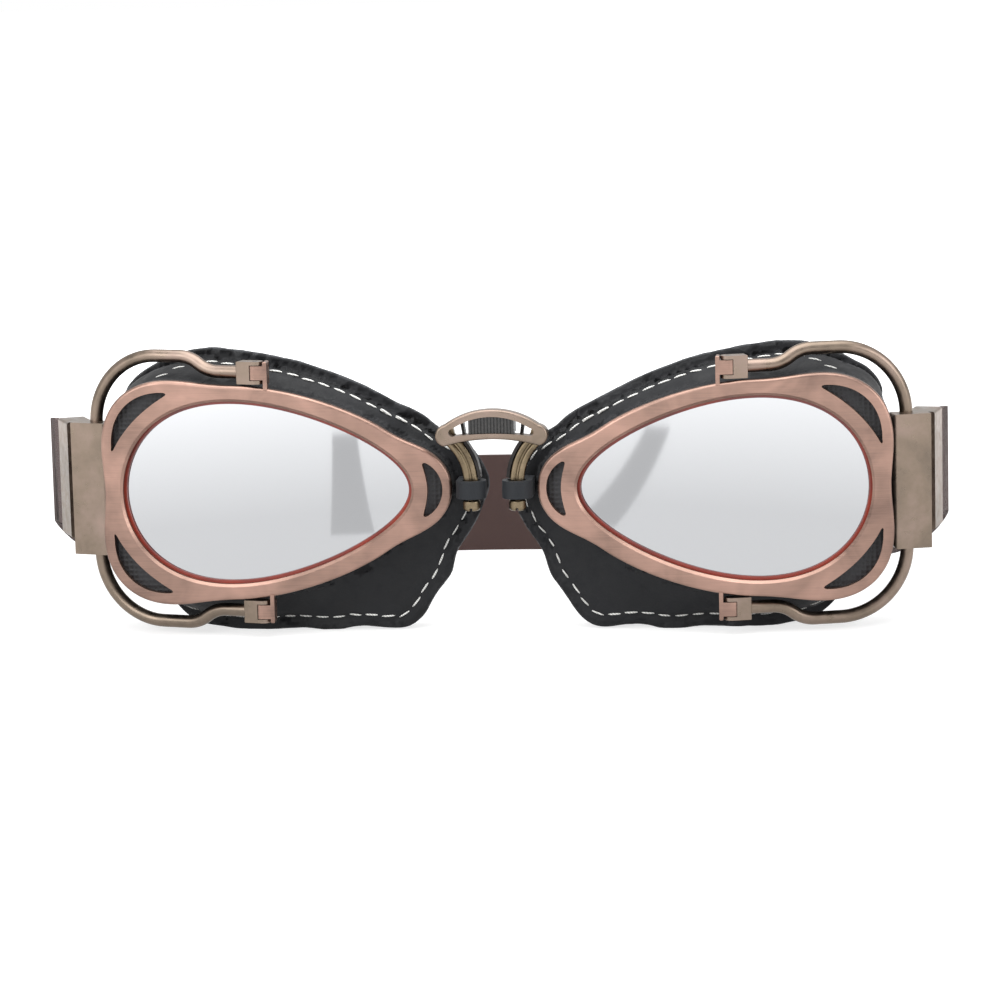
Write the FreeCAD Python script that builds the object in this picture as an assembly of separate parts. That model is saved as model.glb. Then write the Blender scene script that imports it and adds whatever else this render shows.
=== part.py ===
"""Aviator flying goggles: two slotted metal eye cups with mirrored lenses and leather masks,
joined by an adjustable nose bridge and worn on an elastic strap held by two wire bails.

Millimetres. X runs to the wearer's left in use (right in the front view), Y runs back towards the
face, and Z runs up. The goggles stand on the lower edges of the masks and on the back of the strap.
"""
import FreeCAD, Part
import math
import os

V = FreeCAD.Vector

# Lens: an egg with its wide end at the temple
lens_width = 64.7
lens_height = 40.9
egg_swell = 0.28
lens_thick = 1.8
front_radius = 220.0

# Bezel: band widths round the lens window, and the gap between the two bezels
nose_gap = 19.0
temple_band = 4.1
corner_band = 9.5
brow_band = 3.5
cheek_band = 4.1
nose_band = 8.8
corner_angle = 36.0
brow_angle = 76.0
cheek_angle = 140.0
bezel_thick = 1.8
bezel_round = 0.7
window_bevel = 0.6

# Vent slots
slot_land = 3.5
slot_rim = 2.3
slot_middle = 35.0
slot_reach = 17.0
nose_slot_rim = 2.0
nose_slot_reach = 15.0
slot_least = 1.2
slot_samples = 28
end_round = 0.8
side_round = 0.75
mesh_margin = 0.5
mesh_thick = 0.6
mesh_play = 0.1
vent_margin = 0.2

# Seal, back frame and its screws
seal_lip = 0.7
seal_thick = 0.6
lens_margin = 1.4
fit = 0.2
back_floor = 1.2
back_lip = 1.2
leather = 1.3
sleeve_inset = 0.2
sleeve_thick = 0.8
sleeve_play = 0.12
screw_head = 1.0
screw_shank = 0.55
screw_grip = 0.8
head_thick = 0.7
screw_angles = (60.0, 154.0, -154.0, -60.0)
screw_inset = 3.05
screw_end = 0.3
driver_width = 0.35
driver_depth = 0.3

# Mask: how far its hem stands out from the lens edge, from the temple over the brow to the cheek
cheek_hem = 13.0
hem_widths = (
    (0, 1.6),
    (20, 3.6),
    (36, 11.0),
    (60, 11.2),
    (90, 9.6),
    (130, 9.2),
    (158, 10.8),
    (170, 14.6),
    (180, 16.4),
    (190, 14.9),
    (200, 14.6),
    (216, 18.6),
    (230, 21.8),
    (250, 16.6),
    (270, cheek_hem),
    (298, 12.2),
    (318, 8.0),
    (340, 3.6),
)
mask_depth = 12.2
face_radius = 167.0
face_middle = -20.0
hem_thick = 2.4
seam_inset = 3.0
temple_draw = 0.15
flange_width = 7.6
flange_thick = 1.2
hem_round = 0.4
seat_gap = 0.05
under_gap = 0.15
floor_flat = 0.8
pad_inset = 1.8
pad_width = 5.6
pad_depth = 6.4
pad_seat = 0.02

# Hinges of the wire bails
knuckle_height = 5.0
knuckle_depth = 3.4
knuckle_length = 2.2
lug_length = 0.9
hinge_u = 1.4
tine = 0.8
pin_radius = 0.6
running = 0.15
lug_gap = 0.25
lug_root = 1.1
lug_round = 0.35
knuckle_round = 0.3
wire_socket = 0.4
pin_play = 0.03

# Wire bail
wire = 2.9
bail_reach = 39.9
bail_rise = 3.25
bail_start = 9.1
bail_bend = 9.5
bail_corner = 15.3
bail_sweep = 16.0

# Strap bracket on the upright of the bail
bracket_wall = 1.0
bracket_height = 29.8
bracket_out = 4.5
bracket_clear = 0.3

# Strap
strap_width = 24.0
strap_thick = 1.3
wrap_gap = 0.15
right_lead = 11.0
left_lead = 25.0
back_shift = 5.0
run_length = 30.0
loop_end = 28.0
tail_end = 27.0
strap_back = 118.0
back_radius = 190.0
slide_place = 17.2
pinch_place = 7.5
pinch_bend = 10.0
slide_length = 9.0
slide_wall = 0.9
slide_bar = 1.2
slide_play = 0.2

# Nose bridge
yoke_half = 12.4
yoke_top = 18.1
yoke_bottom = 11.5
yoke_round = 0.55
yoke_thick = 3.0
yoke_front = -0.5
yoke_wall = 1.6
yoke_floor = 1.3
yoke_cheek = 3.0
bumper_half = 5.0
bumper_back = 5.4
rib_pitch = 0.72
rib_depth = 0.35
rod = 1.6
rod_pitch = 1.7
web = 0.8
arm_x = 5.1
arm_y = 3.7
arm_bend = 12.8
arm_turn = 42.8
arm_knee = 1.5
arm_foot = -2.3
pivot_x = 10.3
pivot_z = 12.4
eye_radius = 1.9
pivot_pin = 0.8
pivot_play = 0.06
pin_grip = 1.6
leaf_thick = 0.7
leaf_depth = 2.6
leaf_top = 15.4
loop_wall = 1.4
loop_play = 0.3
loop_height = 4.0
cap_radius = 1.9
cap_height = 2.5

# Places worked out from the sizes above
half_u = lens_width / 2
half_z = lens_height / 2 / 1.036
cup_x = nose_gap / 2 + nose_band + half_u
cup_z = lens_height / 2 + cheek_hem - floor_flat
seal_back = bezel_thick + seal_thick
lens_back = seal_back + lens_thick
frame_back = lens_back + back_floor
hinge_y = knuckle_depth / 2
knuckle_z = lens_height / 2 + brow_band + lug_gap + knuckle_height / 2
wire_radius = wire / 2
bail_angle = math.radians(bail_sweep)
bar_x = cup_x + hinge_u + bail_reach * math.cos(bail_angle)
bar_y = hinge_y + bail_reach * math.sin(bail_angle)
wrap_radius = wire_radius + wrap_gap + strap_thick / 2
bracket_inner = wrap_radius + strap_thick / 2 + fit
yoke_back = yoke_front + yoke_thick

cut_reach = 20.0
SAMPLES = 48


def egg(turn, out=0.0):
    """A point of the lens edge, or of a line that runs `out` outside it."""
    c = math.cos(turn)
    s = math.sin(turn)
    du = -half_u * s
    dz = half_z * (c * (1 + egg_swell * c) - egg_swell * s * s)
    size = math.hypot(du, dz)
    return half_u * c + out * dz / size, half_z * s * (1 + egg_swell * c) - out * du / size


def eased(keys, degrees):
    """A width that runs smoothly between the widths given at some angles."""
    degrees = degrees % 360.0
    ring = list(keys) + [(keys[0][0] + 360, keys[0][1])]
    for (a, wa), (b, wb) in zip(ring, ring[1:]):
        if a <= degrees <= b:
            share = (degrees - a) / (b - a)
            return wa + (wb - wa) * (1 - math.cos(math.pi * share)) / 2
    return ring[0][1]


def bezel_band(turn):
    half = (
        (0, temple_band),
        (corner_angle, corner_band),
        (brow_angle, brow_band),
        (cheek_angle, cheek_band),
        (180, nose_band),
    )
    mirrored = tuple((360 - a, w) for a, w in reversed(half[1:-1]))
    return eased(half + mirrored, math.degrees(turn))


def mask_band(turn):
    return eased(hem_widths, math.degrees(turn))


def depth_at(u, under=0.0):
    """Depth of a layer of the curved front at a distance from the middle of its lens."""
    return front_radius - math.sqrt((front_radius - under) ** 2 - u * u)


def hem_y(u):
    """Depth of the mask's back edge, which follows the face."""
    along = u - face_middle
    return mask_depth + face_radius - math.sqrt(face_radius**2 - along * along)


def closed(points):
    curve = Part.BSplineCurve()
    curve.interpolate(points, True)
    return Part.Wire(curve.toShape())


def outline(rule, y=0.0, samples=SAMPLES):
    """A closed wire round the lens; rule gives its distance outside the lens edge."""
    points = []
    for i in range(samples):
        turn = 2 * math.pi * i / samples
        u, z = egg(turn, rule(turn))
        points.append(V(u, y, z))
    return closed(points)


def prism(loop, y0, y1):
    flat = loop.copy()
    flat.translate(V(0, y0, 0))
    return Part.Face(flat).extrude(V(0, y1 - y0, 0))


def hole(loop):
    """A tool that cuts a loop right through the curved front."""
    return prism(loop, -cut_reach, cut_reach)


def curved_sheet(front, back):
    """The layer of the curved front between two depths."""
    tall = 4 * lens_height
    base = V(0, front_radius, -tall / 2)
    outer = Part.makeCylinder(front_radius - front, tall, base)
    return outer.cut(Part.makeCylinder(front_radius - back, tall, base))


def layer(loop, front, back):
    deep = depth_at(half_u + corner_band, frame_back)
    return prism(loop, -deep, 2 * deep).common(curved_sheet(front, back)).Solids[0]


def slot_loop(middle, reach, rim, grow=0.0):
    """A vent slot between the lens land and the bezel's rim, with rounded ends."""
    points = []
    stretch = reach + math.degrees(grow / half_u)
    for i in range(slot_samples):
        phase = 2 * math.pi * i / slot_samples
        along = math.copysign(abs(math.cos(phase)) ** end_round, math.cos(phase))
        across = math.copysign(abs(math.sin(phase)) ** side_round, math.sin(phase))
        turn = math.radians(middle + stretch * along)
        low = slot_land - grow
        high = bezel_band(turn) - rim + grow
        high = max(high, low + slot_least)
        u, z = egg(turn, (low + high) / 2 + (high - low) / 2 * across)
        points.append(V(u, 0, z))
    return closed(points)


def slots(grow=0.0):
    return [
        slot_loop(slot_middle, slot_reach, slot_rim, grow),
        slot_loop(-slot_middle, slot_reach, slot_rim, grow),
        slot_loop(180.0, nose_slot_reach, nose_slot_rim, grow),
    ]


def seat(shape):
    """Move a piece from the lens's own frame to its place on the right-hand cup."""
    shape.translate(V(cup_x, 0, cup_z))
    return shape


def ring(sections):
    """A closed ring through section lines, each a rule that gives u, y, z at an angle."""
    loops = []
    for section in sections:
        points = [V(*section(2 * math.pi * i / SAMPLES)) for i in range(SAMPLES)]
        loops.append(closed(points))
    faces = []
    for a, b in zip(loops, loops[1:] + loops[:1]):
        faces += Part.makeLoft([a, b], False, True).Faces
    body = Part.Solid(Part.Shell(faces))
    if body.Volume < 0:
        body.reverse()
    return body


def swept(path, profile):
    return Part.Wire(path).makePipeShell([profile], True, True)


def tube(path, radius):
    """A round wire along a path."""
    first = path.Edges[0]
    start = first.valueAt(first.FirstParameter)
    heading = first.tangentAt(first.FirstParameter)
    return swept(path, Part.Wire(Part.Circle(start, heading, radius).toShape()))


def front_frame():
    """Curved bezel with its window, three vent slots and the two hinge lugs."""
    plate = layer(outline(bezel_band), 0, bezel_thick)
    plate = plate.makeFillet(bezel_round, front_edges(plate))
    plate = plate.cut(hole(outline(lambda t: 0.0))).Solids[0]
    inner = min(front_edges(plate), key=lambda e: e.Length)
    plate = plate.makeChamfer(window_bevel, [inner])
    for loop in slots():
        plate = plate.cut(hole(loop))
    for turn in screw_angles:
        plate = plate.cut(screw_post(turn, screw_shank, bezel_thick - screw_grip, lens_back))
    for side in (1, -1):
        plate = plate.fuse(lug(side))
    return plate.removeSplitter()


def front_edges(shape):
    """The closed edges that lie on the curved front face."""
    found = []
    for edge in shape.Edges:
        p = edge.valueAt((edge.FirstParameter + edge.LastParameter) / 2)
        if abs(math.hypot(p.x, p.y - front_radius) - front_radius) < 0.01 and edge.Length > lens_width:
            found.append(edge)
    return found


def screw_post(turn, radius, front, back):
    u, z = egg(math.radians(turn), screw_inset)
    start = depth_at(u, front)
    return Part.makeCylinder(radius, depth_at(u, back) - start, V(u, start, z), V(0, 1, 0))


def lug(side):
    """The bezel's half of a bail hinge: a root on the bezel's edge and a bored disc."""
    root_x = -hinge_y - running
    low = knuckle_z - knuckle_height / 2
    high = knuckle_z + knuckle_height / 2
    root = Part.makeBox(lug_length, knuckle_depth, knuckle_height, V(root_x - lug_length, 0, low))
    root = root.makeFillet(lug_round, [e for e in root.Edges if e.BoundBox.ZMin > high - 0.01])
    below = lug_gap + lug_root
    foot = Part.makeBox(lug_length, bezel_thick, below, V(root_x - lug_length, 0, low - below))
    root = root.fuse(foot)
    inner = knuckle_height - 2 * (tine + running)
    disc = Part.makeCylinder(hinge_y, inner, V(0, hinge_y, knuckle_z - inner / 2))
    neck = Part.makeBox(-root_x, knuckle_depth, inner, V(root_x, 0, knuckle_z - inner / 2))
    whole = root.fuse(disc).fuse(neck)
    bore = Part.makeCylinder(pin_radius, inner + 2, V(0, hinge_y, knuckle_z - inner / 2 - 1))
    whole = whole.cut(bore)
    whole.translate(V(hinge_u, 0, 0))
    return whole if side > 0 else other_way_up(whole)


def lens():
    """Curved mirrored lens with its edge under the bezel."""
    return layer(outline(lambda t: lens_margin), seal_back, lens_back)


def lens_seal():
    """Flat rubber seal between bezel and lens, with a lip that shows in the window."""
    disc = layer(outline(lambda t: lens_margin), bezel_thick, seal_back)
    return disc.cut(hole(outline(lambda t: -seal_lip)))


def back_frame():
    """Rear half of the rim: it clamps lens, seal and vent mesh against the bezel."""
    rim = sleeve_inset + sleeve_thick + sleeve_play
    body = layer(outline(lambda t: bezel_band(t) - rim), bezel_thick, frame_back)
    pocket = layer(outline(lambda t: lens_margin + fit), 0, lens_back)
    body = body.cut(pocket)
    body = body.cut(hole(outline(lambda t: -back_lip)))
    for wide, narrow in zip(slots(mesh_margin + mesh_play), slots(vent_margin)):
        body = body.cut(layer(wide, 0, bezel_thick + mesh_thick))
        body = body.cut(hole(narrow))
    for turn in screw_angles:
        body = body.cut(screw_post(turn, screw_shank, 0, 2 * frame_back))
    return body


def vent_mesh():
    """Three dark mesh inserts behind the slots."""
    return Part.makeCompound([layer(s, bezel_thick, bezel_thick + mesh_thick) for s in slots(mesh_margin)])


def frame_screws():
    """Four small screws from the back of the rim into the bezel."""
    screws = []
    for turn in screw_angles:
        shank = screw_post(turn, screw_shank, bezel_thick - screw_grip, frame_back + screw_end)
        u, z = egg(math.radians(turn), screw_inset)
        depth = depth_at(abs(u) + screw_head, frame_back)
        head = Part.makeCylinder(screw_head, head_thick, V(u, depth, z), V(0, 1, 0))
        corner = V(u - 2 * screw_head, depth + head_thick - driver_depth, z - driver_width / 2)
        slot = Part.makeBox(4 * screw_head, 2 * driver_depth, driver_width, corner)
        screws.append(shank.fuse(head).cut(slot))
    return Part.makeCompound(screws)


def mask_point(turn, share=None, hem=None, inset=0.0, front=None, way=None, back=None, behind=0.0):
    """A point of the mask's section.

    Across, it lies at a share of the way from sleeve to hem, or at a distance from the hem. In
    depth it lies behind the bezel, part of the way to the face, or in front of the face.
    """
    sleeve = bezel_band(turn) - sleeve_inset
    outer = mask_band(turn)
    if share is None:
        out = outer - hem
    elif outer < sleeve:
        out = sleeve + share**temple_draw * (outer - sleeve)
    else:
        out = sleeve + share * (outer - sleeve)
    u, z = egg(turn, out - inset)
    start = depth_at(u, bezel_thick) + seat_gap
    end = hem_y(u)
    if front is not None:
        y = start + front
    elif back is not None:
        y = end - back
    else:
        clear = start + frame_back - bezel_thick + under_gap
        y = clear + way * (end - hem_thick - clear)
    return u, y + behind, z


def leather_skirt():
    """Leather mask: a sleeve round the rim that flares to a stitched hem and a padded flange."""
    rules = (
        dict(share=0.0, front=0.0),
        dict(share=0.0, way=0.0),
        dict(share=0.28, way=0.36),
        dict(share=0.60, way=0.80),
        dict(hem=seam_inset, back=hem_thick),
        dict(hem=hem_round, back=hem_thick),
        dict(hem=0.0, back=hem_thick * 0.55),
        dict(hem=0.3, back=0.0),
        dict(hem=flange_width, back=0.0),
        dict(hem=flange_width, back=flange_thick),
        dict(share=0.46, inset=leather, way=0.70, behind=leather * 0.5),
        dict(share=0.22, inset=leather, way=0.36, behind=leather * 0.5),
        dict(share=0.0, inset=sleeve_thick, way=0.02),
        dict(share=0.0, inset=sleeve_thick, front=0.0),
    )
    body = ring([lambda t, r=r: mask_point(t, **r) for r in rules])
    below = Part.makeBox(2 * lens_width, 2 * lens_width, cup_z, V(-lens_width, -lens_height, -2 * cup_z))
    return body.cut(below).cut(bracket_room())


def bracket_room():
    """The room beside the mask's temple in which the inner wall of the strap bracket swings."""
    reach = bail_reach - bracket_inner - bracket_wall - bracket_clear
    half = bracket_height / 2 + bracket_clear
    room = Part.makeBox(2 * temple_band, 3 * frame_back, 2 * half, V(half_u, -frame_back, -half))
    return room.cut(Part.makeCylinder(reach, 2 * half, V(hinge_u, hinge_y, -half)))


def face_pad():
    """Crowned cushion on the mask's flange, where the goggles meet the face."""
    section = (
        (0.06, 0.0),
        (0.0, 0.34),
        (0.04, 0.68),
        (0.22, 0.92),
        (0.5, 1.0),
        (0.78, 0.9),
        (0.96, 0.62),
        (1.0, 0.3),
        (0.92, 0.0),
    )

    def rule(across, up):
        return lambda t: mask_point(t, hem=pad_inset + across * pad_width, back=-pad_seat - up * pad_depth)

    return ring([rule(a, b) for a, b in section])


def hinge_pins():
    """The two pins of the bail hinges."""
    pins = []
    for side in (1, -1):
        base = V(hinge_u, hinge_y, side * knuckle_z - knuckle_height / 2)
        pins.append(Part.makeCylinder(pin_radius - pin_play, knuckle_height, base))
    return Part.makeCompound(pins)


def bail_path():
    """The wire's middle line, from the upper knuckle round the temple to the lower one."""
    turn = 2 * math.atan(bail_rise / bail_bend)
    radius = bail_bend / 2 / math.sin(turn)
    top = knuckle_z + bail_rise
    end = bail_start + bail_bend
    middle_u = (bail_start + end) / 2
    middle_z = knuckle_z + bail_rise / 2
    x0 = hinge_y + running + knuckle_length - wire_socket

    def at(u, z):
        return V(u, hinge_y, z)

    half = [at(x0, knuckle_z), at(bail_start, knuckle_z)]
    s = math.sin(turn / 2)
    c = 1 - math.cos(turn / 2)
    upper = [
        Part.LineSegment(half[0], half[1]).toShape(),
        Part.Arc(half[1], at(bail_start + radius * s, knuckle_z + radius * c), at(middle_u, middle_z)).toShape(),
        Part.Arc(at(middle_u, middle_z), at(end - radius * s, top - radius * c), at(end, top)).toShape(),
        Part.LineSegment(at(end, top), at(bail_reach - bail_corner, top)).toShape(),
    ]
    r = bail_corner
    lean = r * (1 - math.sqrt(0.5))
    upper.append(
        Part.Arc(
            at(bail_reach - r, top),
            at(bail_reach - lean, top - lean),
            at(bail_reach, top - r),
        ).toShape()
    )
    upright = Part.LineSegment(at(bail_reach, top - r), at(bail_reach, r - top)).toShape()
    lower = [other_way_up(e) for e in upper]
    return Part.Wire(Part.__sortEdges__(upper + [upright] + lower))


def knuckle(side):
    """The bail's half of a hinge: a block with a hollowed face and two tines over the lug."""
    low = knuckle_z - knuckle_height / 2
    reach = hinge_y + running + knuckle_length
    block = Part.makeBox(reach, knuckle_depth, knuckle_height, V(0, 0, low))
    block = block.fuse(Part.makeCylinder(hinge_y, knuckle_height, V(0, hinge_y, low)))
    block = block.makeFillet(knuckle_round, [e for e in block.Edges if abs(e.BoundBox.XMin - reach) < 1e-4])
    gap = knuckle_height - 2 * tine
    hollow = Part.makeCylinder(hinge_y + running, gap, V(0, hinge_y, low + tine))
    block = block.cut(hollow)
    bore = Part.makeCylinder(pin_radius, knuckle_height + 2, V(0, hinge_y, low - 1))
    block = block.cut(bore)
    return block if side > 0 else other_way_up(block)


def sweep_back(shape):
    """Swing a bail piece back from the plane of the front to where it lies at rest."""
    shape.rotate(V(0, hinge_y, 0), V(0, 0, 1), bail_sweep)
    shape.translate(V(hinge_u, 0, 0))
    return shape


def bail():
    """Wire bail with its two knuckles."""
    body = tube(bail_path(), wire_radius)
    for side in (1, -1):
        body = body.fuse(knuckle(side))
    return sweep_back(body)


def strap_bracket():
    """Folded cover over the strap's loop, held by the wire above and below."""
    inner = bracket_inner
    depth = inner + bracket_wall
    half = bracket_height / 2
    x0 = -depth
    plan = [
        V(x0, 1.0, 0),
        V(x0, -depth, 0),
        V(bracket_out, -depth, 0),
        V(bracket_out, -depth + bracket_wall, 0),
        V(-inner, -depth + bracket_wall, 0),
        V(-inner, 1.0, 0),
    ]
    face = Part.Face(Part.makePolygon(plan + plan[:1]))
    shell = face.extrude(V(0, 0, 2 * half))
    cap_plan = [plan[0], plan[1], plan[2], V(bracket_out, -wire_radius, 0), V(wire_radius + 1.0, 1.0, 0)]
    cap = Part.Face(Part.makePolygon(cap_plan + cap_plan[:1])).extrude(V(0, 0, bracket_wall))
    top = cap.copy()
    top.translate(V(0, 0, 2 * half - bracket_wall))
    shell = shell.fuse(cap).fuse(top).removeSplitter()
    corner = [
        e
        for e in shell.Edges
        if abs(e.BoundBox.XMin - x0) < 1e-4 and abs(e.BoundBox.YMin + depth) < 1e-4 and e.BoundBox.XMax < x0 + 0.01
    ]
    shell = shell.makeFillet(1.0, corner)
    ends = [
        e
        for e in shell.Edges
        if abs(e.BoundBox.XMax - bracket_out) < 1e-4 and e.BoundBox.ZLength < 0.01 and e.BoundBox.XLength < 0.01
        and e.BoundBox.YMax < -depth + bracket_wall + 0.01
    ]
    outer = [e for e in ends if abs(e.BoundBox.ZMin) < 1e-4 or abs(e.BoundBox.ZMin - 2 * half) < 1e-4]
    if outer:
        shell = shell.makeFillet(1.0, outer[:2])
    shell = shell.cut(Part.makeCylinder(wire_radius, 2 * half + 4, V(0, 0, -2)))
    shell.translate(V(bail_reach, hinge_y, -half))
    return sweep_back(shell)


def run_frame(lead):
    """The strap's start at the bar: the way it runs, and the way towards the head."""
    angle = math.radians(lead)
    return V(math.sin(angle), math.cos(angle), 0), V(-math.cos(angle), math.sin(angle), 0)


def tape(path, z0, height=strap_width):
    """Strap webbing along a level path."""
    first = path.Edges[0]
    start = first.valueAt(first.FirstParameter)
    heading = first.tangentAt(first.FirstParameter)
    side = V(-heading.y, heading.x, 0) * (strap_thick / 2)
    up = V(0, 0, height)
    base = start + V(0, 0, z0)
    points = [base - side, base + side, base + side + up, base - side + up]
    profile = Part.makePolygon(points + points[:1])
    moved = path.copy()
    moved.translate(V(0, 0, z0))
    return swept(moved, profile)


def strap_loop(lead):
    """The strap's front end: round the bar, with its tail folded back through the slide."""
    ahead, inward = run_frame(lead)
    bar = V(bar_x, bar_y, 0)
    outer_end = bar - inward * wrap_radius + ahead * loop_end
    outer_start = bar - inward * wrap_radius
    level = -wrap_radius + strap_thick + slide_bar + 2 * slide_play
    distance = math.hypot(pinch_place, level)
    slope = math.asin(wrap_radius / distance) - math.atan(level / distance)
    tangent = bar + (inward * math.cos(slope) + ahead * math.sin(slope)) * wrap_radius
    half_turn = math.pi + slope
    middle = bar + (inward * math.cos(math.pi - half_turn / 2) - ahead * math.sin(half_turn / 2)) * wrap_radius
    elbow = bar + ahead * pinch_place + inward * level
    tail = bar + ahead * tail_end + inward * level
    reach = pinch_bend * math.tan(slope / 2)
    into = (tangent - elbow).normalize()
    first = elbow + into * reach
    last = elbow + ahead * reach
    centre = first + (inward * math.cos(slope) + ahead * math.sin(slope)) * pinch_bend
    mid = centre + (elbow - centre).normalize() * pinch_bend
    edges = [
        Part.LineSegment(outer_end, outer_start).toShape(),
        Part.Arc(outer_start, middle, tangent).toShape(),
        Part.LineSegment(tangent, first).toShape(),
        Part.Arc(first, mid, last).toShape(),
        Part.LineSegment(last, tail).toShape(),
    ]
    return tape(Part.Wire(edges), cup_z - strap_width / 2)


def back_arcs(lead, shift):
    """Ends, centres and radii of the strap's side arc and back arc."""
    ahead, inward = run_frame(lead)
    start = V(bar_x, bar_y, 0) - inward * wrap_radius + ahead * run_length
    middle = V(shift, strap_back - back_radius, 0)
    reach = start - middle
    side_radius = (back_radius**2 - reach.dot(reach)) / (2 * (back_radius + reach.dot(inward)))
    centre = start + inward * side_radius
    meet = middle + (centre - middle).normalize() * back_radius
    return ahead, inward, start, centre, side_radius, meet, middle


def strap_side(lead, shift):
    """The strap between loop and back, where it sinks to the surface it lies on."""
    ahead, inward, start, centre, side_radius, meet, middle = back_arcs(lead, shift)
    begin = V(bar_x, bar_y, 0) - inward * wrap_radius + ahead * loop_end
    way = ((start - centre).normalize() + (meet - centre).normalize()).normalize()
    edges = [
        Part.LineSegment(begin, start).toShape(),
        Part.Arc(start, centre + way * side_radius, meet).toShape(),
    ]
    tall = tape(Part.Wire(edges), -2.0, cup_z + strap_width + 4.0)
    y0 = start.y
    y1 = meet.y - 0.5
    steps = 8
    low = []
    for i in range(steps + 1):
        share = i / steps
        drop = (cup_z - strap_width / 2) * (1 - math.cos(math.pi * share)) / 2
        low.append(V(0, y0 + share * (y1 - y0), cup_z - strap_width / 2 - drop))
    curve = Part.BSplineCurve()
    curve.interpolate(low)
    under = curve.toShape()
    over = under.copy()
    over.translate(V(0, 0, strap_width))
    up = V(0, 0, strap_width)
    front = V(0, begin.y - 3, low[0].z)
    back = V(0, meet.y + 3, 0)
    edges = [
        Part.LineSegment(front, low[0]).toShape(),
        under,
        Part.LineSegment(low[-1], back).toShape(),
        Part.LineSegment(back, back + up).toShape(),
        Part.LineSegment(back + up, low[-1] + up).toShape(),
        over,
        Part.LineSegment(low[0] + up, front + up).toShape(),
        Part.LineSegment(front + up, front).toShape(),
    ]
    side_view = Part.Face(Part.Wire(Part.__sortEdges__(edges))).extrude(V(3 * cup_x, 0, 0))
    return tall.common(side_view)


def strap_rear():
    """The back of the strap, standing on its edge."""
    right = back_arcs(right_lead, -back_shift)
    left = back_arcs(left_lead, back_shift)
    a = right[5]
    b = V(-left[5].x, left[5].y, 0)
    middle = V(-back_shift, strap_back, 0)
    arc = Part.Arc(a, middle, b).toShape()
    return tape(Part.Wire([arc]), 0.0)


def strap_slide(lead):
    """Slide buckle: a flat frame round both layers, with a bar between them."""
    ahead, inward = run_frame(lead)
    inner = 2 * strap_thick + slide_bar + 4 * slide_play
    high = strap_width + 2 * slide_play + 0.4
    wide = inner + 2 * slide_wall
    tall = high + 2 * slide_wall
    body = Part.makeBox(wide, slide_length, tall, V(0, 0, -tall / 2))
    edges = [e for e in body.Edges if e.BoundBox.YLength > slide_length - 0.01]
    body = body.makeFillet(0.6, edges)
    body = body.cut(Part.makeBox(inner, slide_length + 2, high, V(slide_wall, -1, -high / 2)))
    bar_at = slide_wall + strap_thick + 2 * slide_play
    body = body.fuse(Part.makeBox(slide_bar, slide_length * 0.4, high + 0.2, V(bar_at, slide_length * 0.3, -high / 2 - 0.1)))
    body = body.removeSplitter()
    body.rotate(V(0, 0, 0), V(0, 0, 1), 180)
    corner = V(bar_x, bar_y, cup_z)
    corner = corner + ahead * (slide_place + slide_length / 2)
    corner = corner + inward * (-wrap_radius - strap_thick / 2 - slide_play - slide_wall + wide)
    turn = math.degrees(math.atan2(-inward.y, -inward.x))
    body.translate(V(wide, 0, 0))
    body.rotate(V(0, 0, 0), V(0, 0, 1), turn)
    body.translate(corner)
    return body


def arched_plate(top, low, half, shoulder, heel, rounding, y0, y1):
    """A plate with an arched top edge and a gently arched lower edge, with rounded ends."""
    inner = half - rounding
    edges = [
        Part.Arc(V(-inner, y0, shoulder), V(0, y0, top), V(inner, y0, shoulder)),
        Part.Arc(V(inner, y0, shoulder), V(half, y0, (shoulder + heel) / 2), V(inner, y0, heel)),
        Part.Arc(V(inner, y0, heel), V(0, y0, low), V(-inner, y0, heel)),
        Part.Arc(V(-inner, y0, heel), V(-half, y0, (shoulder + heel) / 2), V(-inner, y0, shoulder)),
    ]
    loop = Part.Wire([e.toShape() for e in edges])
    return Part.Face(loop).extrude(V(0, y1 - y0, 0))


def yoke_window(shrink, y0, y1):
    top = yoke_top - yoke_wall - shrink
    low = yoke_bottom + yoke_floor + shrink
    half = yoke_half - yoke_cheek
    return arched_plate(top, low, half, top - 2.6, low - 0.55, 0.8, y0, y1)


def bridge_yoke():
    """Crescent yoke with its window and the two blind bores for the arm pivots."""
    tip = 1.9
    body = arched_plate(yoke_top, yoke_bottom, yoke_half, yoke_top - 3.4, yoke_bottom - 1.5, tip, yoke_front, yoke_back)
    corners = [e for e in body.Edges if e.BoundBox.YLength > yoke_thick - 0.01]
    body = body.makeFillet(0.8, corners)
    front = [e for e in body.Edges if abs(e.BoundBox.YMax - yoke_front) < 1e-4]
    body = body.makeFillet(yoke_round, front)
    body = body.cut(yoke_window(0, yoke_front - 1, yoke_back + 1))
    for side in (1, -1):
        bore = Part.makeCylinder(pivot_pin, 2.0, V(side * pivot_x, yoke_back - pin_grip, pivot_z), V(0, 1, 0))
        body = body.cut(bore)
    body.translate(V(0, 0, cup_z))
    return body


def bridge_bumper():
    """Ribbed rubber block in the yoke's window: it stops the arms' leaves."""
    block = yoke_window(0.05, yoke_front + 0.3, bumper_back)
    keep = Part.makeBox(2 * bumper_half, 20, 40, V(-bumper_half, -10, 0))
    block = block.common(keep)
    count = int(bumper_half / rib_pitch)
    for i in range(-count, count + 1):
        groove = Part.makeBox(rib_pitch * 0.4, 2 * rib_depth, 12, V((i - 0.2) * rib_pitch, yoke_front + 0.3 - rib_depth, 9))
        block = block.cut(groove)
    block.translate(V(0, 0, cup_z))
    return block


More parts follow.
